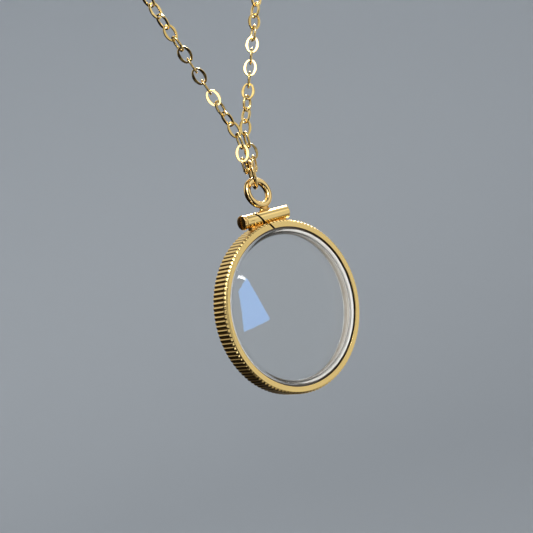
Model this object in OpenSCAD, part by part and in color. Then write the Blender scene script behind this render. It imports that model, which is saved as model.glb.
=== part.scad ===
// Shaker locket: a clear round capsule in a coin-edge bezel with a screw top, hung on a fine flat cable chain.
// It keeps its worn form: the chain runs round the neck and the locket hangs free in front.
// Millimetres. +Z is up, +X is right, the front faces -Y. The origin is at the nape, in the middle of the clasp.

/* [Bezel] */
// Diameter over the reeded edge
bezel_d = 27; // [24:0.5:32]
// Thickness of the bezel, front to back
bezel_t = 3.1; // [2.6:0.1:4]
// Radius of the window in the front and back rims
window_r = 12.35; // [11:0.05:14]
// Number of reeds round the edge
reeds = 120; // [60:2:160]
// Depth of the grooves between the reeds
reed_depth = 0.24; // [0.1:0.02:0.4]
// Width of the sloping cut that splits the bezel at the top
slit_w = 0.32; // [0.1:0.02:0.6]
// Slope of that cut from upright, in degrees
slit_lean = 37.5; // [0:0.5:45]

/* [Screw top] */
// Height of the tube's axis above the bezel's centre
tube_z = 14.4; // [13.5:0.1:16]
// Radius of the tube
tube_r = 1.05; // [0.8:0.05:1.4]
// Length of the tube
tube_len = 8.55; // [6:0.05:12]
// Radius of the screw's shank
shank_r = 0.5; // [0.3:0.05:0.7]
// Radius of the screw's head
head_r = 1.12; // [0.8:0.02:1.4]

/* [Bail ring and jump ring] */
// Height of the bail ring's centre above the bezel's centre
bail_z = 18.3; // [16:0.05:20]
// Radius of the bail ring, measured to the middle of its wire
bail_ring_r = 2.02; // [1.4:0.02:3]
// Radius of the bail ring's wire
bail_wire_r = 0.55; // [0.3:0.01:0.8]
// Radius of the jump ring, measured to the middle of its wire
jump_ring_r = 2.07; // [1.2:0.01:3]
// Radius of the jump ring's wire
jump_wire_r = 0.31; // [0.2:0.01:0.6]
// Turn of the jump ring about the vertical, in degrees
jump_turn = -31; // [-60:0.5:60]
// Turn of the bail ring about the vertical, in degrees
bail_turn = 3.5; // [-30:0.5:30]
// Lean of the bail ring's top toward the back, in degrees
bail_lean = 12; // [0:0.5:20]

/* [Capsule] */
// Radius of the flange that sits in the bezel's channel
flange_r = 12.8; // [11:0.05:14]
// Radius of the empty chamber
chamber_r = 11.75; // [10:0.05:13]
// Rise of the crystal's middle above the capsule's joint
crystal_rise = 1.95; // [1.5:0.05:3]
// Thickness of the crystal's window
crystal_t = 0.65; // [0.4:0.05:1]

/* [Chain] */
// Distance from one link to the next
pitch = 1.945; // [1.5:0.005:3]
// Links on each side of the lowest link
side_links = 115; // [60:1:118]
// Thickness of the flat link
link_t = 0.3; // [0.15:0.01:0.5]
// Half of a link's length, outside
link_end = 1.38; // [1:0.01:2]
// Slope of the two sides of the chain from upright, in degrees
side_lean = 24.3; // [10:0.1:45]

/* [Neck] */
// Height of the flat front part of the chain before it turns back over the shoulders
front_h = 70; // [30:1:110]
// Radius of that turn
shoulder_r = 60; // [30:1:90]
// Angle of that turn, in degrees
shoulder_a = 75; // [40:1:85]

/* [Hidden] */

half_t = bezel_t/2;
outer_r = bezel_d/2;
root_r = outer_r - reed_depth;
channel_r = flange_r + 0.05;
tube_x = -4.4;                    // left end of the tube
bail_mid = [0.07, 0.5, bail_z];   // middle of the bail ring, seen from the bezel's centre
bail_up = [-sin(bail_lean)*sin(bail_turn), sin(bail_lean)*cos(bail_turn), cos(bail_lean)];
low_z = 22.05;                    // height of the lowest link above the bezel's centre
low_y = 0.692;                    // its place behind the bezel's centre
low_x = -0.389;                   // its place beside the chain's middle
low_turn = 17.24;                 // its turn about the vertical
clasp_half = 3.87;                // from the clasp's middle to where each end of the chain hooks on
rad = 180/PI;

// The chain lies in a sheet that is flat in front and turns back over the shoulders. In the sheet, u is
// the distance outward from the middle and v the distance up from the lowest link.
// Outward lean of the first links on the left and on the right, which crowd above the jump ring.
first_lean = [[3.4, -14.85, 4.05, 15.4], [7.5, -11.7, -5.7, 16.3]];
function sum4(l, i=0) = i > 3 ? [0, 0] : [sin(l[i]), cos(l[i])] + sum4(l, i + 1);
corner = [0.3, -0.196];           // the first links sit this far outward and below the lowest link's joints
function start_u(s) = (pitch/2 + corner[0])*cos(low_turn) + (s == 0 ? -low_x : low_x);
function u4(s) = start_u(s) + pitch*sum4(first_lean[s])[0];
v4 = corner[1] + pitch*(sum4(first_lean[0])[1] + sum4(first_lean[1])[1])/2;
turn = side_lean/rad + PI/2;
function rise(s) = ((side_links - 4)*pitch + clasp_half - u4(s)*turn/cos(side_lean))
                   /(1 + tan(side_lean)*turn);
function round_r(s) = (u4(s) + rise(s)*sin(side_lean))/cos(side_lean);
function lean(s, k) = k <= 4 ? first_lean[s][k - 1]
    : let(past = (k - 4.5)*pitch - rise(s)) past < 0 ? side_lean : side_lean - past/round_r(s)*rad;
function in_out(k) = (k == 3 || k == 4) ? -(0.25 + corner[0]/pitch/2)*sin(low_turn) : 0;
// Joints between the links of one side: outward, toward the back, up in the sheet
function joints(s) = [for (k = 0, p = [start_u(s), (pitch/2 + corner[0])*sin(low_turn), corner[1]];
    k <= side_links;
    k = k + 1,
    p = k <= side_links ? p + pitch*[sin(lean(s, k)), in_out(k), cos(lean(s, k))] : p) p];
top_v = v4 + rise(0)*cos(side_lean) + round_r(0)*(1 + sin(side_lean));

// The sheet in space: [toward the back, up, angle] at v, seen from the lowest link
turn_len = shoulder_r*shoulder_a/rad;
function sheet(v) = v < front_h ? [0, v, 0]
    : v < front_h + turn_len ? let(a = (v - front_h)/shoulder_r*rad)
        [shoulder_r*(1 - cos(a)), front_h + shoulder_r*sin(a), a]
    : let(m = v - front_h - turn_len)
        [shoulder_r*(1 - cos(shoulder_a)) + m*sin(shoulder_a),
         front_h + shoulder_r*sin(shoulder_a) + m*cos(shoulder_a), shoulder_a];
nape = sheet(top_v);
low = [low_x, -nape[0], -nape[1]];            // middle of the lowest link
locket = low + [0, -low_y, -low_z];           // middle of the bezel

function unit(v) = v/norm(v);
function spot(s, j) = let(h = sheet(j[2])) [(s == 0 ? -1 : 1)*j[0],
    low[1] + h[0] + (s == 0 ? -1 : 1)*j[1], low[2] + h[1]];
// Turn of each link about its own length. Neighbours stand across each other, with a slow extra twist.
twist = [[1, -15.4], [2, 1.3], [3, 18], [4, 30], [5, 42], [6, 57], [7, 80], [8, 88], [11, 90], [12, 112], [13, 118],
         [14, 131], [16, 135]];
end_twist = [218.5, 128.5];
function roll(s, k) = 51.5 + 90*(k - 1) + lookup(k, concat(twist, [[side_links, end_twist[s]]]));

module link() {
    rotate([90, 0, 0]) linear_extrude(link_t, center = true) difference() {
        intersection() {
            circle(link_end, $fn = 64);
            translate([-0.69, 0]) circle(1.75, $fn = 80);
            translate([0.69, 0]) circle(1.75, $fn = 80);
        }
        intersection() {
            square([2, 2*link_end - 0.62], center = true);
            translate([-2, 0]) circle(2.6, $fn = 96);
            translate([2, 0]) circle(2.6, $fn = 96);
        }
    }
}

module placed(c, along, wide) {
    t = cross(along, wide);
    multmatrix([[wide[0], t[0], along[0], c[0]],
                [wide[1], t[1], along[1], c[1]],
                [wide[2], t[2], along[2], c[2]],
                [0, 0, 0, 1]]) children();
}

module torus(ring, wire) {
    rotate_extrude($fn = 96) translate([ring, 0]) circle(wire, $fn = 32);
}

module chain() {
    color("gold") {
        placed(low, [cos(low_turn), sin(low_turn), 0], [-sin(low_turn), cos(low_turn), 0]) link();
        for (s = [0, 1]) {
            j = joints(s);
            for (k = [1:side_links]) {
                a = spot(s, j[k - 1]);
                b = spot(s, j[k]);
                along = unit(b - a);
                bend = sheet((j[k - 1][2] + j[k][2])/2)[2];
                out = [0, -cos(bend), sin(bend)];
                across = unit(cross(out, along));
                face = cross(along, across);
                r = roll(s, k);
                placed((a + b)/2, along, across*cos(r) + face*sin(r)) link();
            }
        }
    }
}

// The reeded edge as one outline: a groove, then a rounded crest
module reed_outline() {
    step = 360/reeds;
    polygon([for (i = [0:reeds - 1]) for (p = [[0, 0], [0.25, 0.8], [0.5, 1], [0.75, 0.8]])
        (root_r + reed_depth*p[1])*[cos((i + p[0])*step), sin((i + p[0])*step)]]);
}

// Section of the bezel's ring, as radius and depth, with the soft front and back edges
module ring_section() {
    difference() {
        polygon([[window_r, -half_t + 0.06], [window_r + 0.06, -half_t], [outer_r - 0.34, -half_t],
                 [outer_r + 0.02, -half_t + 0.3], [outer_r + 0.02, half_t - 0.3], [outer_r - 0.34, half_t],
                 [window_r + 0.06, half_t], [window_r, half_t - 0.06]]);
        translate([window_r - 1, -1.02]) square([channel_r - window_r + 1, 2.04]);
    }
}

module coin_ring() {
    rotate([90, 0, 0]) intersection() {
        translate([0, 0, -half_t - 1]) linear_extrude(bezel_t + 2) reed_outline();
        rotate_extrude($fn = 480) ring_section();
    }
}

module slit() {
    translate([-0.69, 0, 13]) rotate([0, -slit_lean, 0])
        translate([-slit_w/2, -3, -1.6]) cube([slit_w, 6, 5.4]);
}

module bezel() {
    color("gold") translate(locket) difference() {
        union() {
            coin_ring();
            difference() {
                union() {
                    // tube
                    translate([tube_x, 0, tube_z]) rotate([0, 90, 0])
                        cylinder(r = tube_r, h = tube_len, $fn = 72);
                    // solder seam under the tube
                    translate([-3.6, -0.45, outer_r - 0.9]) cube([7.1, 0.9, 1.4]);
                }
                rotate([90, 0, 0]) cylinder(r = root_r - 0.12, h = 6, center = true, $fn = 480);
            }
            // solder foot and bail ring
            translate([0.12, 0, tube_z + 0.75]) cylinder(r1 = 0.95, r2 = 0.6, h = 0.95, $fn = 48);
            translate(bail_mid) rotate([90 - bail_lean, 0, bail_turn]) torus(bail_ring_r, bail_wire_r);
        }
        slit();
        translate([tube_x - 1, 0, tube_z]) rotate([0, 90, 0])
            cylinder(r = shank_r + 0.05, h = tube_len + 0.35, $fn = 48);
    }
}

module screw() {
    color("gold") translate(locket + [tube_x, 0, tube_z]) rotate([0, 90, 0]) difference() {
        rotate_extrude($fn = 72) polygon([[0, -0.56], [head_r - 0.14, -0.56], [head_r, -0.42],
            [head_r, -0.14], [head_r - 0.08, -0.06], [shank_r, -0.06], [shank_r, 7.2],
            [shank_r - 0.15, 7.4], [0, 7.4]]);
        rotate([0, 0, 5]) translate([-2, -0.18, -1]) cube([4, 0.36, 0.72]);
    }
}

// Section of half the capsule, as radius and height above its joint
module crystal_section() {
    big = 190;
    difference() {
        intersection() {
            translate([0, 0.03]) square([flange_r, 3]);
            union() {
                square([flange_r, 0.97]);
                square([window_r - 0.3, 3]);
            }
            translate([0, crystal_rise - big]) circle(big, $fn = 1440);
        }
        intersection() {
            translate([-1, -1]) square([chamber_r + 1, 4]);
            translate([0, crystal_rise - crystal_t - big]) circle(big, $fn = 1440);
            polygon([[-1, -1], [chamber_r, -1], [chamber_r, 0.6], [chamber_r - 0.12, 0.9],
                     [chamber_r - 0.35, 1.12], [chamber_r - 0.7, 1.25], [chamber_r - 1.2, 3], [-1, 3]]);
        }
    }
}

module crystal() {
    rotate_extrude($fn = 144) intersection() {
        crystal_section();
        square([20, 20]);
    }
}

module front_crystal() {
    color("white", 0.35) translate(locket) rotate([90, 0, 0]) crystal();
}

module back_crystal() {
    color("white", 0.35) translate(locket) rotate([-90, 0, 0]) crystal();
}

jump_gap = 0.29;                  // room under the bail ring's top wire, which the turned jump ring needs
jump_low = locket + bail_mid + (bail_ring_r - bail_wire_r - jump_wire_r - jump_gap)*bail_up;
jump_lean = atan2(jump_low[0] - low[0] - 0.04, 2*jump_ring_r);
jump_mid = jump_low + jump_ring_r*[-sin(jump_lean), 0, cos(jump_lean)];

module jump_ring() {
    color("gold") translate(jump_mid) rotate([0, -jump_lean, 0]) rotate([0, 0, jump_turn])
        rotate([0, 90, 0]) torus(jump_ring_r, jump_wire_r);
}

module clasp() {
    // ring of the clasp with its eye and thumb piece
    color("gold") rotate([90 - shoulder_a, 0, 0]) {
        torus(2.3, 0.5);
        translate([-3.25, 0, 0]) torus(0.95, 0.24);
        rotate([0, 0, -60]) translate([2.3, 0, 0]) rotate([0, 90, 0]) cylinder(r = 0.3, h = 1.1, $fn = 32);
    }
}

// Ring at the other end of the chain, across the clasp's ring
module end_ring() {
    color("gold") translate([2.8, 0, 0]) rotate([180 - shoulder_a, 0, 0]) torus(1.42, 0.28);
}

bezel();
screw();
front_crystal();
back_crystal();
jump_ring();
chain();
clasp();
end_ring();
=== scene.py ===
# %% [markdown]
# # A shaker locket on a fine flat cable chain
#
# This file dresses the engineering model of a necklace: a clear round capsule in a coin-edge bezel with a
# screw top, hung from a chain that runs round the neck. The engineering model gives every size and place.
# Here each piece gets the shape and finish that the eye expects of polished gold and clear moulded crystal.
#
# Every length of the necklace is written in millimetres, because a jeweller thinks in them, and is turned
# into metres at the moment a mesh is made. Only the floor and the lamps are placed in metres.

import math

import bmesh
import bpy
import numpy as np
from mathutils import Matrix, Vector


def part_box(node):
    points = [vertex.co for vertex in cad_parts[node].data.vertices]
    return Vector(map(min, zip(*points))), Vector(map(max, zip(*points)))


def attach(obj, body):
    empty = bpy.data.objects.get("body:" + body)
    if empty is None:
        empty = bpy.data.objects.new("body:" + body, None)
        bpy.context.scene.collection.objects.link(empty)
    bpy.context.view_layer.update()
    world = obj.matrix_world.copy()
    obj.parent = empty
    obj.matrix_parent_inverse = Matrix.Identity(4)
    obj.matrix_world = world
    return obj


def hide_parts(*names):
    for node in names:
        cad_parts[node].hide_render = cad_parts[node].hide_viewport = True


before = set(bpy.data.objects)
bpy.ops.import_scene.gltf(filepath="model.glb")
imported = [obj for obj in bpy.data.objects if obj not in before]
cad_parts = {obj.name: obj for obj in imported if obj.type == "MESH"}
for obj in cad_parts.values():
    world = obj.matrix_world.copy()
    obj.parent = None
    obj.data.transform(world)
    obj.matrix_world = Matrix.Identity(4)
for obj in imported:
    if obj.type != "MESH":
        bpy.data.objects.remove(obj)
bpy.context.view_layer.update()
MM = 0.001
scene = bpy.context.scene

# %% [markdown]
# ## Where the pieces are
#
# The bezel is a ring with its screw tube and bail on top, so the lowest point of its box is the bottom of the
# ring. From that point and the ring's radius comes the middle of the locket, and everything on the locket is
# then drawn round that middle: x to the right, y to the back and z up. The front crystal ends a hair before
# the middle plane, where it meets the back one.

# %% Measure the locket
OUTER_R = 13.5
HALF_T = 1.55
JOINT_GAP = 0.03
bezel_low, bezel_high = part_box("bezel")
locket = np.array([
    (bezel_low.x + bezel_high.x) / 2 / MM,
    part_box("front_crystal")[1].y / MM + JOINT_GAP,
    bezel_low.z / MM + OUTER_R,
])
print("middle of the locket", locket.round(2), "mm")

# %% [markdown]
# ## The camera
#
# The camera stands in front and to the left, a little above the locket, and is tilted, so the picture leans.
# Three angles say where it looks, and three lengths say where it sees the middle of the locket: to the right
# of the picture's middle, below it and away from the lens. They were found by matching the ring, the tube and
# the bail to the photo. The lens is long enough to keep the ring's oval undistorted.

# %% Set the camera
PHOTO_SIDE = 533
FOCAL_PIXELS = 1200
LOOK_TURN, LOOK_DROP, LOOK_TILT = 51.6329, 2.9177, 14.5979
SEEN_RIGHT, SEEN_DOWN, SEEN_AWAY = 3.5246, 6.2594, 185.7237


def view_directions(turn, drop, tilt):
    """The camera's right, down and forward directions, from three angles in degrees."""
    turn, drop, tilt = np.radians([turn, drop, tilt])
    level = np.array([math.cos(turn), math.sin(turn), 0])
    forward = math.cos(drop) * level - math.sin(drop) * np.array([0, 0, 1])
    flat_right = np.array([math.sin(turn), -math.cos(turn), 0])
    flat_down = np.cross(forward, flat_right)
    right = math.cos(tilt) * flat_right + math.sin(tilt) * flat_down
    return np.array([right, np.cross(forward, right), forward])


view_rows = view_directions(LOOK_TURN, LOOK_DROP, LOOK_TILT)
camera_place = locket - view_rows.T @ np.array([SEEN_RIGHT, SEEN_DOWN, SEEN_AWAY])

camera_data = bpy.data.cameras.new("photo_camera")
camera_data.sensor_width = 36
camera_data.lens = FOCAL_PIXELS * camera_data.sensor_width / PHOTO_SIDE
camera_data.clip_start, camera_data.clip_end = 0.01, 20
camera = bpy.data.objects.new("photo_camera", camera_data)
scene.collection.objects.link(camera)
turn = Matrix([list(row) for row in (view_rows.T @ np.diag([1, -1, -1]))]).to_4x4()
camera.matrix_world = Matrix.Translation(Vector(camera_place * MM)) @ turn
scene.camera = camera
print("camera at", (camera_place - locket).round(1), "mm from the locket")

# %% [markdown]
# ## Making meshes from grids
#
# A turned ring, a bent wire and a moulded crystal have one thing in common: a section that is carried along a
# path. Such a shape is a grid of points, so one small helper joins the points of any grid into four-sided
# faces, and others turn a section round an axis, bend a wire into a ring and round the corners of a section.
# Every piece is told which body of the engineering model it rides on and which solid it stands for. The last
# two helpers cut a block out of a piece.

# %% Faces over a grid
def grid_faces(rows, cols, wrap_rows=True, wrap_cols=True, start=0):
    """Four-sided faces over a grid of rows x cols points."""
    faces = []
    for i in range(rows if wrap_rows else rows - 1):
        for j in range(cols if wrap_cols else cols - 1):
            a, b = i * cols + j, i * cols + (j + 1) % cols
            c, d = ((i + 1) % rows) * cols + (j + 1) % cols, ((i + 1) % rows) * cols + j
            faces.append((start + a, start + b, start + c, start + d))
    return faces


# %% A mesh object that rides on a body
CRISP = 35.0


def new_piece(name, points, faces, body, stands_for, sharp=CRISP, numbers=None):
    """A mesh object from points in mm. Its edges steeper than `sharp` degrees stay crisp.

    `numbers` is a name and one number per point, which a material can read as an attribute."""
    mesh = bpy.data.meshes.new(name)
    mesh.from_pydata([tuple(p) for p in np.asarray(points) * MM], [], faces)
    mesh.validate()
    if numbers:
        mesh.attributes.new(numbers[0], "FLOAT", "POINT").data.foreach_set("value", numbers[1])
    tidy = bmesh.new()
    tidy.from_mesh(mesh)
    bmesh.ops.remove_doubles(tidy, verts=tidy.verts, dist=1e-7)
    bmesh.ops.recalc_face_normals(tidy, faces=tidy.faces)
    tidy.to_mesh(mesh)
    tidy.free()
    mesh.shade_smooth()
    mesh.set_sharp_from_angle(angle=math.radians(sharp))
    piece = bpy.data.objects.new(name, mesh)
    scene.collection.objects.link(piece)
    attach(piece, body)
    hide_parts(stands_for)
    print(f"{name}: {len(mesh.polygons)} faces")
    return piece


# %% Sections carried round an axis
X, Y, Z = (np.array(v, float) for v in ((1, 0, 0), (0, 1, 0), (0, 0, 1)))


def turned(section, steps, place, side, front, along):
    """A section of (radius, height) points turned round an axis: side and front span the circle."""
    angles = np.linspace(0, 2 * np.pi, steps, endpoint=False)
    side, front, along = (np.asarray(v, float) for v in (side, front, along))
    points = [place + r * (math.cos(a) * side + math.sin(a) * front) + h * along
              for a in angles for r, h in section]
    return np.array(points)


def bent_ring(ring_r, wire_r, place, side, front, along, steps, wire_steps):
    """A round wire bent into a ring."""
    wire = [(ring_r + wire_r * math.cos(t), wire_r * math.sin(t))
            for t in np.linspace(0, 2 * np.pi, wire_steps, endpoint=False)]
    return turned(wire, steps, place, side, front, along), grid_faces(steps, wire_steps)


def rounded(corners, steps=3):
    """A path of (radius, height, fillet) corners with each corner rounded by its fillet."""
    path = []
    for i, (r, h, fillet) in enumerate(corners):
        here = np.array([r, h])
        if fillet == 0 or i in (0, len(corners) - 1):
            path.append(here)
            continue
        before, after = (np.array(corners[k][:2]) for k in (i - 1, i + 1))
        a = here + (before - here) / np.linalg.norm(before - here) * fillet
        b = here + (after - here) / np.linalg.norm(after - here) * fillet
        for t in np.linspace(0, 1, steps + 1):
            path.append((1 - t) ** 2 * a + 2 * t * (1 - t) * here + t ** 2 * b)
    return path


def soft_least(a, b, soft):
    """The smaller of two lengths, with the change from one to the other rounded."""
    return (a + b - math.sqrt((a - b) ** 2 + soft ** 2)) / 2


# %% Helpers for cutting
def cut_away(piece, cutter):
    """Cuts the cutter's solid out of the piece and removes the cutter."""
    modifier = piece.modifiers.new("cut", "BOOLEAN")
    modifier.operation, modifier.solver, modifier.object = "DIFFERENCE", "EXACT", cutter
    bpy.context.view_layer.update()
    graph = bpy.context.evaluated_depsgraph_get()
    cut = bpy.data.meshes.new_from_object(piece.evaluated_get(graph))
    piece.modifiers.clear()
    piece.data = cut
    cut.shade_smooth()
    cut.set_sharp_from_angle(angle=math.radians(CRISP))
    bpy.data.objects.remove(cutter)
    print(f"{piece.name}: {len(cut.polygons)} faces after the cut")


def block(size, matrix):
    """A plain block in mm, used only to cut with."""
    mesh = bpy.data.meshes.new("cutter")
    shape = bmesh.new()
    bmesh.ops.create_cube(shape, size=1)
    shape.to_mesh(mesh)
    shape.free()
    mesh.transform(Matrix.Scale(MM, 4) @ matrix @ Matrix.Diagonal((*size, 1)))
    piece = bpy.data.objects.new("cutter", mesh)
    scene.collection.objects.link(piece)
    return piece

# %% [markdown]
# ## The coin-edge ring
#
# The edge of the bezel is reeded like a coin: rounded crests with a sharp groove between each pair. The ring
# is a section carried round the middle, but its outer points follow the reeds, and the soft bevels at the
# front and back cut across them. Where the bevel meets a crest it leaves a small bright bead, which a plain
# bump could not give, so the reeds are real geometry. The section is that of a plain blank, a little wider
# than the crests, and each outer point is drawn in to the reeds where they lie deeper. A number at each
# point, kept as an attribute, says how deep in a groove the point lies. The gold uses it later to paint
# shade: a dark line at the bottom of each groove, standing in for its shadow and dark reflections.

# %% Make the coin-edge ring
REEDS = 120
REED_DEPTH = 0.24
STEPS_PER_REED = 10
CREST_ROUNDING = 0.62
STEP_CROWDING = 0.35
WINDOW_R = 12.35
CHANNEL_R, CHANNEL_HALF = 12.85, 1.02
BEVEL_WIDE, BEVEL_DEEP = 0.34, 0.32
BLANK_R = OUTER_R + 0.02
REEDED_FROM = 13.1
EDGE_SOFTNESS = 0.02
phase = np.arange(STEPS_PER_REED) / STEPS_PER_REED
phase = phase + STEP_CROWDING * np.sin(4 * np.pi * phase) / (4 * np.pi)
reed_height = np.sin(np.pi * phase) ** CREST_ROUNDING
half_section = [
    (CHANNEL_R, CHANNEL_HALF, 0), (WINDOW_R, CHANNEL_HALF, 0.05), (WINDOW_R, HALF_T, 0.06),
    (OUTER_R - BEVEL_WIDE, HALF_T, 0.07), (BLANK_R, HALF_T - BEVEL_DEEP, 0.09),
]
ring_section = rounded([(r, -h, fillet) for r, h, fillet in half_section] + [(BLANK_R, 0, 0.01)]
                       + half_section[::-1])
angles = (np.repeat(np.arange(REEDS), STEPS_PER_REED) + np.tile(phase, REEDS)) * 2 * np.pi / REEDS
heights = np.tile(reed_height, REEDS)
ring_points, ring_depth = [], []
for angle, height in zip(angles, heights):
    crest_r = OUTER_R - REED_DEPTH * (1 - height)
    for r, h in ring_section:
        reeded_r = soft_least(r, crest_r, EDGE_SOFTNESS) if r > REEDED_FROM else r
        ring_points.append(locket + reeded_r * (math.cos(angle) * X + math.sin(angle) * Z) + h * Y)
        ring_depth.append((1 - height) if r > crest_r - EDGE_SOFTNESS else 0.0)
coin_ring = new_piece("coin_edge_ring", ring_points, grid_faces(len(angles), len(ring_section)),
                      "locket", "bezel", numbers=("groove", ring_depth))

# %% [markdown]
# ## The tube, the bail ring and the solder
#
# The ring is split at the top, and a short tube is soldered across the split. The tube is split too, along
# the same slanting saw cut, and a screw inside it draws the two halves together. The bail ring stands on the
# tube. Solder leaves a concave fillet wherever two pieces meet, so the foot of the bail and the seam under
# the tube are made as strips that start on one piece and curve over to the other.

# %% Make the tube
TUBE_Z, TUBE_R, TUBE_LEFT, TUBE_RIGHT = 14.4, 1.05, -4.4, 4.15
BORE_R, BORE_END = 0.55, 3.5
TUBE_STEPS = 96
tube_middle = locket + TUBE_Z * Z
tube_section = rounded([
    (0, BORE_END, 0), (BORE_R, BORE_END, 0.05), (BORE_R, TUBE_LEFT, 0.05),
    (TUBE_R, TUBE_LEFT, 0.09), (TUBE_R, TUBE_RIGHT, 0.12), (0, TUBE_RIGHT, 0),
])
tube = new_piece("screw_tube", turned(tube_section, TUBE_STEPS, tube_middle, -Y, Z, X),
                 grid_faces(TUBE_STEPS, len(tube_section), True, False), "locket", "bezel")

# %% Make the bail ring
BAIL_MIDDLE, BAIL_R, BAIL_WIRE = np.array([0.07, 0.5, 18.3]), 2.02, 0.55
BAIL_TURN, BAIL_LEAN = math.radians(3.5), math.radians(12)
bail_side = math.cos(BAIL_TURN) * X + math.sin(BAIL_TURN) * Y
bail_up = math.cos(BAIL_LEAN) * Z + math.sin(BAIL_LEAN) * np.cross(Z, bail_side)
bail_back = np.cross(bail_up, bail_side)
bail_points, bail_faces = bent_ring(BAIL_R, BAIL_WIRE, locket + BAIL_MIDDLE, bail_side, bail_up, bail_back,
                                    steps=128, wire_steps=32)
bail_ring = new_piece("bail_ring", bail_points, bail_faces, "locket", "bezel")

# %% Make the fillet of solder at the bail's foot
def between(low, high, pull, steps):
    """Points from low to high that bow towards pull, as a fillet does."""
    return [(1 - t) ** 2 * low + 2 * t * (1 - t) * pull + t ** 2 * high for t in np.linspace(0, 1, steps)]


FOOT_X, WAIST_Z = 0.12, 15.62
TUBE_END_X, TUBE_END_Y = 1.2, 0.66
WAIST_X, WAIST_Y = 0.72, 0.36
BAIL_END_X, BAIL_END_Y = 0.98, 0.34
SUNK_IN_TUBE, SUNK_IN_BAIL = 0.02, 0.06
FOOT_STEPS, FOOT_ROWS = 48, 8
solder_points = []
for angle in np.linspace(0, 2 * np.pi, FOOT_STEPS, endpoint=False):
    c, s = math.cos(angle), math.sin(angle)
    deep = TUBE_END_Y * s
    tube_top = TUBE_Z + math.sqrt(TUBE_R ** 2 - deep ** 2)
    on_tube = np.array([FOOT_X + TUBE_END_X * c, deep, tube_top - SUNK_IN_TUBE])
    x, y = BAIL_END_X * c, BAIL_END_Y * s
    across = math.sqrt(BAIL_WIRE ** 2 - y ** 2)
    down = math.sqrt((BAIL_R + across) ** 2 - x ** 2) - SUNK_IN_BAIL
    on_bail = BAIL_MIDDLE + x * bail_side + y * bail_back - down * bail_up
    waist = np.array([FOOT_X + WAIST_X * c, WAIST_Y * s, WAIST_Z])
    solder_points += [locket + p for p in between(on_tube, on_bail, waist, FOOT_ROWS)]
solder_faces = grid_faces(FOOT_STEPS, FOOT_ROWS, True, False)
solder_faces.append(tuple(range(0, FOOT_STEPS * FOOT_ROWS, FOOT_ROWS)))
solder_faces.append(tuple(range(FOOT_ROWS - 1, FOOT_STEPS * FOOT_ROWS, FOOT_ROWS))[::-1])
print("foot of the bail:", len(solder_faces), "faces")

# %% Make the seam under the tube
SEAM_LEFT, SEAM_RIGHT = -3.6, 3.5
SEAM_HALF, SEAM_WAIST = 0.5, 0.4
SEAM_LEAST, SEAM_SUNK = 0.02, 0.03
SEAT_R = 13.36
SEAM_STEPS, SEAM_ROWS = 40, 6
first, around = len(solder_points), 2 * SEAM_ROWS
for x in np.linspace(SEAM_LEFT, SEAM_RIGHT, SEAM_STEPS):
    ring_top = math.sqrt(SEAT_R ** 2 - x ** 2)
    swell = 0.06 * math.sin(2.3 * x + 0.7) + 0.04 * math.sin(5.1 * x)
    half = SEAM_HALF + swell
    tube_low = max(TUBE_Z - math.sqrt(TUBE_R ** 2 - half ** 2), ring_top + SEAM_LEAST)
    for face in (-1, 1):
        low = np.array([x, face * half, ring_top])
        high = np.array([x, face * half, tube_low + SEAM_SUNK])
        pull = np.array([x, face * SEAM_WAIST, (ring_top + tube_low) / 2])
        strip = between(low, high, pull, SEAM_ROWS)
        solder_points += [locket + p for p in (strip if face < 0 else strip[::-1])]
solder_faces += grid_faces(SEAM_STEPS, around, False, True, first)
solder_faces.append(tuple(range(first, first + around))[::-1])
solder_faces.append(tuple(range(first + (SEAM_STEPS - 1) * around, first + SEAM_STEPS * around)))
solder = new_piece("solder", solder_points, solder_faces, "locket", "bezel")

# %% [markdown]
# ## The saw cut
#
# The slanting cut runs through the ring, the seam and the tube in one straight line, as a piercing saw leaves
# it. One thin block stands where the blade went, and the same block is taken out of all three pieces.

# %% Cut the ring, the tube and the seam
SLIT_W, SLIT_LONG, SLIT_LEAN, SLIT_RISE = 0.32, 5.4, 37.5, 1.1
SLIT_FOOT, THROUGH_RING = np.array([-0.69, 0, 13]), 6
blade = (Matrix.Translation(Vector(locket + SLIT_FOOT))
         @ Matrix.Rotation(math.radians(-SLIT_LEAN), 4, "Y") @ Matrix.Translation((0, 0, SLIT_RISE)))
for piece in (coin_ring, tube, solder):
    cut_away(piece, block((SLIT_W, THROUGH_RING, SLIT_LONG), blade))

# %% [markdown]
# ## The screw
#
# A small cylinder-head screw sits in the left end of the tube. Its head is a turned disc with a chamfered rim
# and a sawn slot, a few degrees off upright.

# %% Make the screw
SHANK_R, SHANK_END, POINT_LONG, POINT_DEEP = 0.5, 7.4, 0.2, 0.15
HEAD_R, HEAD_TOP, HEAD_UNDER, HEAD_CHAMFER = 1.12, -0.56, -0.06, 0.12
SLOT_W, SLOT_MIDDLE, SLOT_BLOCK, SLOT_TURN, THROUGH_HEAD = 0.36, -0.64, 0.72, 5, 4
SCREW_STEPS = 64
screw_place = tube_middle + TUBE_LEFT * X
screw_section = rounded([
    (0, HEAD_TOP, 0), (HEAD_R - HEAD_CHAMFER, HEAD_TOP, 0.05), (HEAD_R, HEAD_TOP + HEAD_CHAMFER, 0.04),
    (HEAD_R, HEAD_UNDER - 0.04, 0.05), (HEAD_R - 0.08, HEAD_UNDER, 0.03), (SHANK_R, HEAD_UNDER, 0.03),
    (SHANK_R, SHANK_END - POINT_LONG, 0.05), (SHANK_R - POINT_DEEP, SHANK_END, 0.03), (0, SHANK_END, 0),
])
screw = new_piece("slotted_screw", turned(screw_section, SCREW_STEPS, screw_place, Y, Z, X),
                  grid_faces(SCREW_STEPS, len(screw_section), True, False), "screw", "screw")
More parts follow.
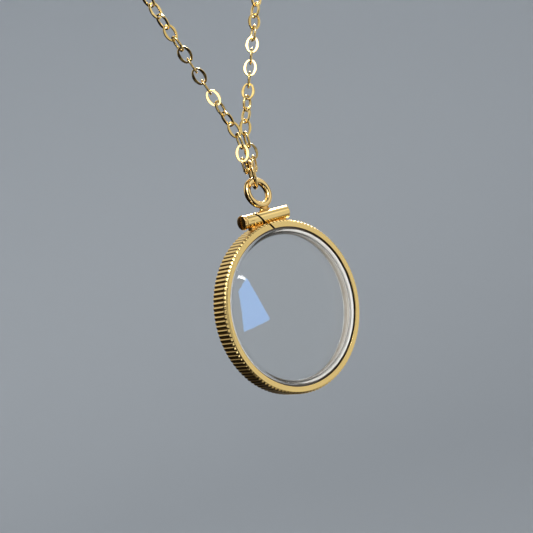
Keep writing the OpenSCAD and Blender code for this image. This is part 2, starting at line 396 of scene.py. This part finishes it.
saw = (Matrix.Translation(Vector(screw_place + SLOT_MIDDLE * X))
       @ Matrix.Rotation(math.radians(SLOT_TURN), 4, "X"))
cut_away(screw, block((SLOT_BLOCK, SLOT_W, THROUGH_HEAD), saw))

# %% [markdown]
# ## The jump ring
#
# A jump ring is plain round wire. Its middle and its plane are read from the engineering model's ring,
# because it leans and turns between the chain and the bail.

# %% Read a solid's own axes
def own_axes(points, triangles):
    """Middle of a thin solid's surface, its three axes from longest to shortest, and its size along each."""
    corners = points[triangles]
    normal = np.cross(corners[:, 1] - corners[:, 0], corners[:, 2] - corners[:, 0])
    area = np.linalg.norm(normal, axis=1) / 2
    middle = (corners.mean(1) * area[:, None]).sum(0) / area.sum()
    corners = corners - middle
    total = corners.sum(1)
    spread = np.einsum("t,tki,tkj->ij", area, corners, corners) + np.einsum("t,ti,tj->ij", area, total, total)
    axes = np.linalg.eigh(spread)[1].T[::-1]
    along = (points - middle) @ axes.T
    middle = middle + (along.max(0) + along.min(0)) / 2 @ axes
    return middle, axes, np.ptp(along, axis=0)


def solid_arrays(node):
    """Points in mm and triangles of an engineering node."""
    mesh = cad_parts[node].data
    mesh.calc_loop_triangles()
    points = np.zeros(len(mesh.vertices) * 3, np.float32)
    mesh.vertices.foreach_get("co", points)
    triangles = np.zeros(len(mesh.loop_triangles) * 3, np.int32)
    mesh.loop_triangles.foreach_get("vertices", triangles)
    return points.reshape(-1, 3).astype(float) / MM, triangles.reshape(-1, 3)


print("jump ring:", len(solid_arrays("jump_ring")[1]), "triangles in the engineering model")

# %% Make the jump ring
JUMP_R, JUMP_WIRE = 2.07, 0.31
jump_middle, jump_axes, jump_size = own_axes(*solid_arrays("jump_ring"))
jump_points, jump_faces = bent_ring(JUMP_R, JUMP_WIRE, jump_middle, *jump_axes, steps=96, wire_steps=24)
jump_ring = new_piece("jump_ring_wire", jump_points, jump_faces, "jump_ring", "jump_ring")
print("jump ring's size", jump_size.round(2), "mm")

# %% [markdown]
# ## The chain
#
# Each link is a small oval of wire that was rolled flat. Its broad faces are nearly mirrors, which is why a
# fine flat chain sparkles: some links flash while their neighbours, turned a quarter, show only their edge.
# One link is drawn once, with its edges eased, and set into the place of each link of the engineering model.
# That model's chain is one mesh, so its links are first told apart: points that share a triangle belong to
# the same link. Each link's place is then read from its own axes. All the new links are one mesh again.

# %% Draw one link
LINK_HALF, LINK_T, SIDE_T = 1.38, 0.3, 0.88
SIDE_ARC, SIDE_SHIFT = 1.75, 0.69
HOLE_ARC, HOLE_SHIFT, HOLE_HALF = 2.6, 2.0, 1.07
LINK_STEPS = 36
WIRE_SECTION = [(1, -0.45), (1, 0.45), (0.74, 1), (0, 1), (-0.74, 1),
                (-1, 0.45), (-1, -0.45), (-0.74, -1), (0, -1), (0.74, -1)]


def arc_reach(arc, shift, c, s):
    """How far an arc lies from the middle of the link, in the direction with this cosine and sine."""
    return -shift * c + math.sqrt(arc ** 2 - (shift * s) ** 2)


link_points = []
for angle in np.linspace(0, 2 * np.pi, LINK_STEPS, endpoint=False):
    c, s = abs(math.cos(angle)), abs(math.sin(angle))
    outside = soft_least(LINK_HALF, arc_reach(SIDE_ARC, SIDE_SHIFT, c, s), 0.03)
    inside = soft_least(arc_reach(HOLE_ARC, HOLE_SHIFT, c, s), HOLE_HALF / max(s, 0.2), 0.12)
    middle, half = (outside + inside) / 2, (outside - inside) / 2
    thick = LINK_T / 2 * (SIDE_T + (1 - SIDE_T) * s)
    for across, up in WIRE_SECTION:
        r = middle + half * across
        link_points.append((r * math.cos(angle), up * thick, r * math.sin(angle)))
link_points = np.array(link_points)
link_faces = grid_faces(LINK_STEPS, len(WIRE_SECTION))
print("one link is", np.ptp(link_points, axis=0).round(2), "mm")

# %% Find the solid of each link
points, triangles = solid_arrays("chain")
_, first_of, same = np.unique(points.round(4), axis=0, return_index=True, return_inverse=True)
triangles = same.reshape(-1)[triangles]
points = points[first_of]
island = np.arange(len(points))
while True:
    lowest = island[triangles].min(1)
    new = island.copy()
    for k in range(3):
        np.minimum.at(new, triangles[:, k], lowest)
    new = new[new]
    if (new == island).all():
        break
    island = new
print(len(np.unique(island)), "solids in the engineering model's chain")

# %% Set a link in the place of each solid
chain_points, chain_faces, chain_tone = [], [], []
luck = np.random.default_rng(7)
for number, root in enumerate(np.unique(island)):
    own = np.flatnonzero(island == root)
    mine = np.searchsorted(own, triangles[island[triangles[:, 0]] == root])
    middle, axes, _ = own_axes(points[own], mine)
    chain_points.append(middle + link_points @ np.array([axes[1], axes[2], axes[0]]))
    chain_faces += [tuple(number * len(link_points) + i for i in face) for face in link_faces]
    chain_tone += [luck.random()] * len(link_points)
chain = new_piece("chain_links", np.concatenate(chain_points), chain_faces, "necklace", "chain",
                  sharp=40, numbers=("tone", chain_tone))
print(len(chain_points), "links")

# %% [markdown]
# ## The crystals
#
# The capsule is two equal clear mouldings. Each is a slightly domed window with a side wall behind it and a
# flange that the bezel's channel holds. Light bends twice at the wall, and that gives the bright and grey
# bands beside the rim, so the wall, the flange and the fillet inside the corner are all modelled with their
# true thickness. The two halves differ in the side that they face and in how round that inner corner is.

# %% Make the two crystals
FLANGE_R, FLANGE_TOP = 12.8, 0.97
CHAMBER_R, RISE, WINDOW_T, DOME_R = 11.75, 1.95, 0.65, 190
CRYSTAL_STEPS, DOME_STEPS = 240, 24
WALL_R = WINDOW_R - 0.3
SHOULDER_R = WALL_R - 0.4
INNER_EDGE_R = CHAMBER_R - 1.0


def dome(r, top):
    """Height of a shallow dome at a radius."""
    return top - (DOME_R - math.sqrt(DOME_R ** 2 - r * r))


def crystal_half(corner):
    """Section of one half. `corner` is the size of the fillet between its wall and its window."""
    under = RISE - WINDOW_T
    rim = [
        (SHOULDER_R, dome(SHOULDER_R, RISE), 0), (WALL_R, dome(WALL_R, RISE), 0.25),
        (WALL_R, FLANGE_TOP, 0.03), (FLANGE_R, FLANGE_TOP, 0.05), (FLANGE_R, JOINT_GAP, 0.05),
        (CHAMBER_R, JOINT_GAP, 0.03), (CHAMBER_R, dome(CHAMBER_R, under), corner),
        (INNER_EDGE_R, dome(INNER_EDGE_R, under), 0),
    ]
    return ([(r, dome(r, RISE)) for r in np.linspace(0, SHOULDER_R, DOME_STEPS)]
            + rounded(rim, 6)[1:]
            + [(r, dome(r, under)) for r in np.linspace(INNER_EDGE_R, 0, DOME_STEPS)[1:]])


crystals = []
for name, node, out, corner in (("front_crystal_window", "front_crystal", -Y, 0.7),
                                ("back_crystal_window", "back_crystal", Y, 0.3)):
    half = crystal_half(corner)
    half_points = turned(half, CRYSTAL_STEPS, locket, X, Z, out)
    half_faces = grid_faces(CRYSTAL_STEPS, len(half), True, False)
    crystals.append(new_piece(name, half_points, half_faces, "locket", node, sharp=30))

# %% [markdown]
# ## Small effects that several materials share
#
# Polished gold is a mirror, so most of its look comes from what it reflects. What is left is small: tone that
# drifts a little from place to place, faint polishing lines that make some patches less sharp, and a very
# slight waviness. These are worked out in one shader group that gives a tone, a roughness and a height, and
# each material decides what to do with them. The crystals' cloudy walls use its tone too.

# %% Helpers for shader nodes
def value_node(tree, kind, **sockets):
    """A new node with some of its inputs set. A value that is an output socket is linked instead."""
    node = tree.nodes.new(kind)
    for name, value in sockets.items():
        socket = node.inputs[name]
        if isinstance(value, bpy.types.NodeSocket):
            tree.links.new(value, socket)
        else:
            socket.default_value = value
    return node


def math_node(tree, operation, a, b=0.0):
    """The result of one sum, product or other operation on two numbers or sockets."""
    node = tree.nodes.new("ShaderNodeMath")
    node.operation = operation
    for socket, value in zip(node.inputs, (a, b)):
        if isinstance(value, bpy.types.NodeSocket):
            tree.links.new(value, socket)
        else:
            socket.default_value = value
    return node.outputs[0]


def new_group(name, inputs, outputs):
    """An empty shader group with number inputs (name, value) and outputs (name, kind)."""
    group = bpy.data.node_groups.new(name, "ShaderNodeTree")
    for label, value in inputs:
        group.interface.new_socket(label, in_out="INPUT", socket_type="NodeSocketFloat").default_value = value
    for label, kind in outputs:
        group.interface.new_socket(label, in_out="OUTPUT", socket_type=kind)
    return group, group.nodes.new("NodeGroupInput"), group.nodes.new("NodeGroupOutput")


# %% The shader group for the marks of polishing
LINE_ROUGHNESS, LINE_HEIGHT = 0.12, 0.15
marks, marks_in, marks_out = new_group(
    "polishing_marks", [("Roughness", 0.12), ("Spread", 0.08)],
    [("Tone", "NodeSocketFloat"), ("Roughness", "NodeSocketFloat"), ("Height", "NodeSocketFloat")])
place = marks.nodes.new("ShaderNodeNewGeometry").outputs["Position"]
patches = value_node(marks, "ShaderNodeTexNoise", Vector=place, Scale=420.0, Detail=3.0)
waves = value_node(marks, "ShaderNodeTexNoise", Vector=place, Scale=900.0, Detail=1.0)
stretched = value_node(marks, "ShaderNodeMapping", Vector=place, Scale=(2600.0, 2600.0, 240.0),
                       Rotation=(0.5, 0.3, 0.2))
lines = value_node(marks, "ShaderNodeTexNoise", Vector=stretched.outputs[0], Scale=1.0, Detail=2.0)
from_middle = math_node(marks, "SUBTRACT", patches.outputs[0], 0.5)
rough = math_node(marks, "ADD", marks_in.outputs["Roughness"],
                  math_node(marks, "MULTIPLY", from_middle, marks_in.outputs["Spread"]))
fine = math_node(marks, "MULTIPLY", math_node(marks, "SUBTRACT", lines.outputs[0], 0.5), LINE_ROUGHNESS)
ridges = math_node(marks, "MULTIPLY", lines.outputs[0], LINE_HEIGHT)
marks.links.new(patches.outputs[0], marks_out.inputs["Tone"])
marks.links.new(math_node(marks, "ADD", rough, fine), marks_out.inputs["Roughness"])
marks.links.new(math_node(marks, "ADD", waves.outputs[0], ridges), marks_out.inputs["Height"])
given = [item.name for item in marks.interface.items_tree if item.in_out == "OUTPUT"]
print("shader group", marks.name, "gives", given)

# %% [markdown]
# ## The golds
#
# All the golds are full metals. They differ in how well they were polished: the flat rims and the tube are
# bright, the solder is duller and warmer, and the bottoms of the grooves are painted dark as shade. Two
# near-black golds are painted shade: the walls of the saw cut and the inner wall of the channel. The chain's
# links each get a slightly different tone.

# %% How a gold is mixed
GROOVE_ROUGHNESS, RELIEF = 0.35, 0.00002


def tone_between(tree, dark, color, factor):
    """A colour that goes from dark to color as a socket goes from 0 to 1."""
    tone = tree.nodes.new("ShaderNodeMix")
    tone.data_type = "RGBA"
    tone.inputs["A"].default_value, tone.inputs["B"].default_value = (*dark, 1), (*color, 1)
    tree.links.new(factor, tone.inputs["Factor"])
    return tone.outputs["Result"]


def gold(name, color, dark, roughness, spread, bump, attribute=None, attribute_color=None):
    """A gold whose tone drifts between two colours. An attribute can pull it toward a third colour."""
    material = bpy.data.materials.new(name)
    material.use_nodes = True
    tree = material.node_tree
    shader = tree.nodes["Principled BSDF"]
    shader.inputs["Metallic"].default_value = 1.0
    effects = tree.nodes.new("ShaderNodeGroup")
    effects.node_tree = marks
    effects.inputs["Roughness"].default_value = roughness
    effects.inputs["Spread"].default_value = spread
    final = tone_between(tree, dark, color, effects.outputs["Tone"])
    rough = effects.outputs["Roughness"]
    if attribute:
        number = tree.nodes.new("ShaderNodeAttribute")
        number.attribute_name = attribute
        pulled = tree.nodes.new("ShaderNodeMix")
        pulled.data_type = "RGBA"
        pulled.inputs["B"].default_value = (*attribute_color, 1)
        tree.links.new(number.outputs["Fac"], pulled.inputs["Factor"])
        tree.links.new(final, pulled.inputs["A"])
        final = pulled.outputs["Result"]
        if attribute == "groove":
            deeper = math_node(tree, "MULTIPLY", number.outputs["Fac"], GROOVE_ROUGHNESS)
            rough = math_node(tree, "ADD", rough, deeper)
    tree.links.new(final, shader.inputs["Base Color"])
    tree.links.new(rough, shader.inputs["Roughness"])
    relief = tree.nodes.new("ShaderNodeBump")
    relief.inputs["Strength"].default_value = bump
    relief.inputs["Distance"].default_value = RELIEF
    tree.links.new(effects.outputs["Height"], relief.inputs["Height"])
    tree.links.new(relief.outputs["Normal"], shader.inputs["Normal"])
    return material


# %% Mix the golds
# The dark colour that the groove number pulls toward is painted shade at the bottoms of the grooves.
edge_gold = gold("coin_edge_gold", (0.92, 0.70, 0.31), (0.89, 0.66, 0.26), 0.12, 0.08, 0.25,
                 "groove", (0.20, 0.10, 0.03))
tube_gold = gold("tube_gold", (0.96, 0.74, 0.33), (0.93, 0.69, 0.28), 0.09, 0.10, 0.35)
wire_gold = gold("wire_gold", (0.95, 0.71, 0.33), (0.91, 0.65, 0.28), 0.06, 0.08, 0.30)
screw_gold = gold("screw_gold", (0.90, 0.63, 0.27), (0.84, 0.56, 0.22), 0.16, 0.12, 0.45)
solder_gold = gold("solder_gold", (0.88, 0.55, 0.18), (0.70, 0.38, 0.10), 0.24, 0.25, 0.9)
chain_gold = gold("chain_gold", (0.93, 0.74, 0.36), (0.90, 0.68, 0.29), 0.12, 0.08, 0.25,
                  "tone", (0.88, 0.65, 0.25))
# Painted shade: near-black gold for the walls of the narrow saw cut, which lie in shadow.
cut_painted_shade = gold("saw_cut_painted_shade", (0.07, 0.035, 0.012), (0.03, 0.015, 0.006), 0.55, 0.1, 1.0)
# Painted shade: near-black gold for the channel's inner wall, which draws the black line inside the rim.
channel_painted_shade = gold("channel_painted_shade", (0.10, 0.06, 0.03), (0.05, 0.03, 0.015), 0.4, 0.1, 0.5)
print("eight golds mixed")

# %% [markdown]
# ## The crystal and the floor
#
# The crystal is clear glass with its own refraction and nothing stored in it, so all its colour comes from
# around it. Light that goes straight through to reach the floor would make the render noisy, so a shadow ray
# is let through as if the glass were simply clear. Only the windows are polished. The walls at the rim are as
# they left the mould, pale and cloudy, and the light that they scatter makes the bright and tan bands beside
# the gold. The floor is plain and pale and has no shine.

# %% Mix the clear crystal
GLASS_BENDING = 1.49
crystal = bpy.data.materials.new("clear_crystal")
crystal.use_nodes = True
tree = crystal.node_tree
shader = tree.nodes["Principled BSDF"]
shader.inputs["Base Color"].default_value = (0.985, 0.99, 0.99, 1)
shader.inputs["Metallic"].default_value = 0.0
shader.inputs["Roughness"].default_value = 0.0
shader.inputs["Transmission Weight"].default_value = 1.0
shader.inputs["IOR"].default_value = GLASS_BENDING
through = tree.nodes.new("ShaderNodeBsdfTransparent")
through.inputs["Color"].default_value = (0.93, 0.94, 0.94, 1)
ray = tree.nodes.new("ShaderNodeLightPath")
either = tree.nodes.new("ShaderNodeMixShader")
tree.links.new(ray.outputs["Is Shadow Ray"], either.inputs[0])
tree.links.new(shader.outputs[0], either.inputs[1])
tree.links.new(through.outputs[0], either.inputs[2])
tree.links.new(either.outputs[0], tree.nodes["Material Output"].inputs["Surface"])
print(crystal.name, "ready")


# %% Mix the crystal's cloudy walls
def moulded(name, color, dark, roughness, clear):
    """A crystal wall as it leaves the mould, cloudy and streaked with some light through, or one painted dark
    as shade.
    """
    material = bpy.data.materials.new(name)
    material.use_nodes = True
    tree = material.node_tree
    shader = tree.nodes["Principled BSDF"]
    effects = tree.nodes.new("ShaderNodeGroup")
    effects.node_tree = marks
    tree.links.new(tone_between(tree, dark, color, effects.outputs["Tone"]), shader.inputs["Base Color"])
    shader.inputs["Roughness"].default_value = roughness
    shader.inputs["Transmission Weight"].default_value = clear
    shader.inputs["IOR"].default_value = GLASS_BENDING
    return material


chamber_wall = moulded("chamber_wall", (0.66, 0.59, 0.50), (0.24, 0.19, 0.14), 0.2, 0.3)
joint_face = moulded("joint_face", (0.98, 0.96, 0.92), (0.74, 0.72, 0.68), 0.2, 0.2)
# Painted shade: the flange's back, in the shade of the channel, is near black and lets no light through.
seat_wall_painted_shade = moulded("seat_wall_painted_shade", (0.06, 0.05, 0.04), (0.04, 0.03, 0.02), 0.4, 0.0)
print("three cloudy walls ready")

# %% Mix the floor's paint
floor_paint = bpy.data.materials.new("pale_floor")
floor_paint.use_nodes = True
paint = floor_paint.node_tree.nodes["Principled BSDF"]
paint.inputs["Base Color"].default_value = (0.55, 0.59, 0.635, 1)
paint.inputs["Roughness"].default_value = 0.9
paint.inputs["Specular IOR Level"].default_value = 0.0
print(floor_paint.name, "ready")

# %% [markdown]
# ## Each piece gets its material
#
# A few pieces wear more than one material. The walls that the saw left are painted dark as shade, because the
# narrow cut lies in shadow: they are the faces on either side of the blade's middle plane. The inner wall of
# the bezel's channel is painted dark as shade too, and it draws the black line inside the rim. On the
# crystals, each wall gets its material by its radius and its distance from the joint: the joint's own face
# and the outer walls are the palest, the chamber's wall is tan, and the flange's back, which sits in the
# shade of the channel, is painted dark as shade.

# %% Put the golds on
NEAR, ON_WALL = 0.02, 0.004
SAWN, CHANNEL = 1, 2


def wear(piece, *materials):
    """Replaces a piece's materials."""
    piece.data.materials.clear()
    for material in materials:
        piece.data.materials.append(material)


def from_middle_of_locket(face):
    """The face's distance from the locket's axis and from its middle plane."""
    x, y, z = np.array(face.center) / MM - locket
    return math.hypot(x, z), abs(y)


to_blade = (Matrix.Scale(MM, 4) @ blade).inverted()
for piece, material in ((coin_ring, edge_gold), (tube, tube_gold), (solder, solder_gold)):
    wear(piece, material, cut_painted_shade, channel_painted_shade)
    walls = 0
    for face in piece.data.polygons:
        spot = to_blade @ face.center
        # The two walls of the saw cut wear its painted shade.
        if abs(abs(spot.x) - SLIT_W / 2) < ON_WALL and abs(spot.z) < SLIT_LONG / 2 + NEAR:
            face.material_index = SAWN
            walls += 1
        r, off_plane = from_middle_of_locket(face)
        # The channel's inner wall wears its painted shade.
        if piece is coin_ring and r < WINDOW_R + NEAR and off_plane < HALF_T - 0.04:
            face.material_index = CHANNEL
    print(piece.name, "has", walls, "faces that the saw left")
wear(bail_ring, wire_gold)
wear(jump_ring, wire_gold)
wear(screw, screw_gold)
wear(chain, chain_gold)
for node in ("clasp", "end_ring"):
    wear(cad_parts[node], wire_gold)

# %% Put the crystal and its walls on
CLEAR, TAN, PALE, DARK = range(4)
FLAT_OUTER_WALL = 1.3
for piece in crystals:
    wear(piece, crystal, chamber_wall, joint_face, seat_wall_painted_shade)
    for face in piece.data.polygons:
        r, off_plane = from_middle_of_locket(face)
        face.material_index = CLEAR
        if r > CHAMBER_R - NEAR and off_plane < FLANGE_TOP + NEAR:
            if off_plane < JOINT_GAP + 0.01 or r > FLANGE_R - 0.1:
                face.material_index = PALE
            else:
                face.material_index = TAN if r < CHAMBER_R + NEAR else DARK
        elif r > WALL_R - NEAR and off_plane < FLAT_OUTER_WALL:
            face.material_index = PALE
    print(piece.name, "wears", [m.name for m in piece.data.materials])

# %% [markdown]
# ## The floor and the backdrop
#
# One shape serves as both: a round floor that curves up into a wall on all sides, so that there is no corner
# to see behind the necklace from any side. It is left out of the gold's reflections, which are shaped by the
# sky below instead.

# %% Build the floor
FLOOR_Z, FLAT_R, BEND_R, WALL_TOP = -0.36, 0.7, 0.6, 1.6
BOWL_STEPS = 64
bend = [(FLAT_R + BEND_R * math.sin(t), BEND_R - BEND_R * math.cos(t))
        for t in np.linspace(0, math.pi / 2, 16)[1:]]
bowl = [(0.0, 0.0), (FLAT_R, 0.0)] + bend + [(FLAT_R + BEND_R, WALL_TOP)]
bowl_points = [(r * math.cos(a), r * math.sin(a), FLOOR_Z + h)
               for a in np.linspace(0, 2 * np.pi, BOWL_STEPS, endpoint=False) for r, h in bowl]
mesh = bpy.data.meshes.new("pale_floor")
mesh.from_pydata(bowl_points, [], grid_faces(BOWL_STEPS, len(bowl), True, False))
mesh.validate()
mesh.shade_smooth()
floor = bpy.data.objects.new("pale_floor", mesh)
scene.collection.objects.link(floor)
mesh.materials.append(floor_paint)
floor.visible_glossy = False
print("floor", FLOOR_Z * 1000, "mm below the nape")

# %% [markdown]
# ## Soft studio light
#
# Polished gold needs something to reflect on every side, with dark as well as bright. The sky is therefore
# drawn as a few soft-edged glows on a dark ground: a warm middle tone in front and to the right, which the
# flat rim mirrors; bright glows above, for the tops of the tube and the rings; weaker ones on the left and
# low on the right, for the two sides of the bevel; and almost nothing behind to the left, which gives the
# edge its black grooves. A flat link mirrors one narrow patch of the sky, so three small strong glows near
# the camera make the links flash that hang square to them, and leave their neighbours dark. Each glow is a
# direction, the angles between which it fades, a colour and a strength.

# %% Draw the sky
GLOWS = [
    ((0.62, -0.78, -0.05), 20, 48, (1.0, 0.98, 0.92), 0.72),
    ((0.62, -0.43, 0.65), 12, 38, (1.0, 0.98, 0.93), 0.36),
    ((0.62, 0.40, 0.68), 14, 42, (1.0, 0.98, 0.94), 1.3),
    ((-0.22, 0.80, 0.48), 8, 34, (1.0, 0.95, 0.85), 0.80),
    ((-0.30, -0.48, 0.80), 10, 34, (1.0, 0.98, 0.95), 1.5),
    ((-0.52, -0.78, 0.35), 3, 10, (1.0, 1.0, 1.0), 2.8),
    ((-0.68, -0.60, 0.42), 4, 12, (1.0, 1.0, 1.0), 1.1),
    ((-0.75, -0.66, -0.08), 6, 22, (1.0, 0.97, 0.88), 0.75),
    ((-0.43, -0.67, 0.60), 3, 9, (1.0, 1.0, 1.0), 2.6),
    ((-0.71, -0.49, -0.50), 3, 9, (1.0, 1.0, 1.0), 2.4),
    ((0.80, 0.35, -0.42), 22, 44, (1.0, 0.95, 0.85), 0.60),
    ((0.00, -0.42, -0.90), 6, 24, (1.0, 0.93, 0.80), 0.45),
]
DARK_GROUND = (0.012, 0.009, 0.007)
sky = bpy.data.worlds.new("studio_sky")
scene.world = sky
sky.use_nodes = True
tree = sky.node_tree
looking = tree.nodes.new("ShaderNodeTexCoord").outputs["Generated"]
total = None
for axis, inner, outer, color, strength in GLOWS:
    facing = tree.nodes.new("ShaderNodeVectorMath")
    facing.operation = "DOT_PRODUCT"
    tree.links.new(looking, facing.inputs[0])
    facing.inputs[1].default_value = Vector(axis).normalized()
    fade = tree.nodes.new("ShaderNodeMapRange")
    fade.interpolation_type = "SMOOTHSTEP"
    fade.inputs["From Min"].default_value = math.cos(math.radians(outer))
    fade.inputs["From Max"].default_value = math.cos(math.radians(inner))
    tree.links.new(facing.outputs["Value"], fade.inputs["Value"])
    glow = tone_between(tree, (0, 0, 0), [c * strength for c in color], fade.outputs["Result"])
    both = tree.nodes.new("ShaderNodeMix")
    both.data_type, both.blend_type = "RGBA", "ADD"
    both.inputs["Factor"].default_value = 1.0
    if total is None:
        both.inputs["A"].default_value = (*DARK_GROUND, 1)
    else:
        tree.links.new(total, both.inputs["A"])
    tree.links.new(glow, both.inputs["B"])
    total = both.outputs["Result"]
tree.links.new(total, tree.nodes["Background"].inputs["Color"])
tree.nodes["Background"].inputs["Strength"].default_value = 1.0
print(len(GLOWS), "glows in the sky")

# %% [markdown]
# ## Lamps
#
# A softbox overhead gives the sharp white streak along the top of the tube. A large lamp high above lights
# the floor and the walls evenly, and one near the camera shines on the cloudy walls of the crystals alone.
# Those two aren't seen in the gold. A small lamp up on the left puts a white bead on each reed, where the
# bevel cuts its crest.

# %% Hang the lamps
def softbox(name, place, aim, size, power):
    """A square lamp that shines from a place toward an aim and is not seen itself."""
    data = bpy.data.lights.new(name, "AREA")
    data.shape, data.size, data.size_y = "RECTANGLE", size[0], size[1]
    data.energy = power
    lamp = bpy.data.objects.new(name, data)
    scene.collection.objects.link(lamp)
    lamp.location = place
    lamp.rotation_euler = (Vector(aim) - Vector(place)).to_track_quat("-Z", "Y").to_euler()
    lamp.visible_camera = False
    return lamp


LAMP_AWAY, RIM_LAMP_AWAY = 0.8, 0.7
aim = Vector(locket * MM)
overhead = softbox("overhead_softbox", aim + Vector((0.62, 0.40, 0.68)) * LAMP_AWAY, aim, (0.30, 0.30), 8)
room_lamp = softbox("room_lamp", (-0.35, 0.75, 1.05), (0.2, 0.3, -0.2), (1.2, 1.2), 2.35)
softbox("bead_lamp", aim + Vector((-0.31, -0.60, 0.74)) * LAMP_AWAY, aim, (0.10, 0.10), 1.5)
rim_lamp = softbox("rim_lamp", aim + Vector((-0.62, -0.70, 0.10)) * RIM_LAMP_AWAY, aim, (0.25, 0.25), 8)
for lamp in (room_lamp, rim_lamp):
    lamp.visible_glossy = lamp.visible_transmission = False
overhead.visible_diffuse = False
crystals_only = bpy.data.collections.new("crystals_only")
for piece in crystals:
    crystals_only.objects.link(piece)
rim_lamp.light_linking.receiver_collection = crystals_only
print("lamps on")

# %% [markdown]
# ## Two reflections in the window
#
# The front crystal mirrors a bluish soft light and, beside the rim, a short white strip. To put a reflection
# in the right place, the rays through its outline are followed from the camera to the dome, mirrored there,
# and carried nearly half a metre on. The points they reach are the outline of a small glowing card. The cards
# are strong, because glass mirrors only a twentieth of the light, so they shine on the crystals alone.

# %% Hang the two cards
CARD_AWAY = 450.0


def hang_card(name, outline, color, strength):
    """A glowing card whose mirror image in the front crystal fills an outline given in picture points."""
    corners = []
    for pixel in outline:
        to_pixel = view_rows.T @ np.array([(pixel[0] - PHOTO_SIDE / 2) / FOCAL_PIXELS,
                                           (pixel[1] - PHOTO_SIDE / 2) / FOCAL_PIXELS, 1.0])
        to_pixel /= np.linalg.norm(to_pixel)
        start = camera_place - locket
        distance = -(start[1] + RISE) / to_pixel[1]
        spot = start + distance * to_pixel
        outward = np.array([spot[0], -DOME_R, spot[2]]) / np.linalg.norm([spot[0], -DOME_R, spot[2]])
        corners.append(locket + spot + CARD_AWAY * (to_pixel - 2 * (to_pixel @ outward) * outward))
    mesh = bpy.data.meshes.new(name)
    mesh.from_pydata([tuple(c * MM) for c in corners], [], [tuple(range(len(corners)))])
    mesh.update()
    card = bpy.data.objects.new(name, mesh)
    scene.collection.objects.link(card)
    card.visible_camera = card.visible_diffuse = card.visible_transmission = False
    card.light_linking.receiver_collection = crystals_only
    glowing = bpy.data.materials.new(name)
    glowing.use_nodes = True
    pane = glowing.node_tree.nodes["Principled BSDF"]
    pane.inputs["Base Color"].default_value = (0, 0, 0, 1)
    pane.inputs["Emission Color"].default_value = (*color, 1)
    pane.inputs["Emission Strength"].default_value = strength
    mesh.materials.append(glowing)
    print(name, "reaches", np.ptp(corners, axis=0).round(0), "mm")


BLUE_OUTLINE = [(247.5, 277.5), (270.5, 319.5), (245.0, 332.0), (239.5, 291.0)]
STRIP_OUTLINE = [(234.0, 277.0), (238.0, 275.0), (243.0, 275.2), (246.5, 278.0), (246.0, 280.0),
                 (241.0, 278.3), (237.0, 278.6)]
hang_card("blue_card", BLUE_OUTLINE, (0.18, 0.46, 1.0), 10.0)
hang_card("white_strip", STRIP_OUTLINE, (1.0, 1.0, 1.0), 20.0)

# %% [markdown]
# ## Picture settings
#
# The plain view transform keeps the gold's colour as it was mixed. Glass needs many bounces before light
# finds its way out again.

# %% Set the picture
scene.view_settings.view_transform = "Standard"
scene.cycles.use_denoising = True
scene.cycles.max_bounces = 24
scene.cycles.transmission_bounces = 24
scene.cycles.glossy_bounces = 12
scene.cycles.caustics_reflective = False
scene.cycles.caustics_refractive = False
print("picture ready")
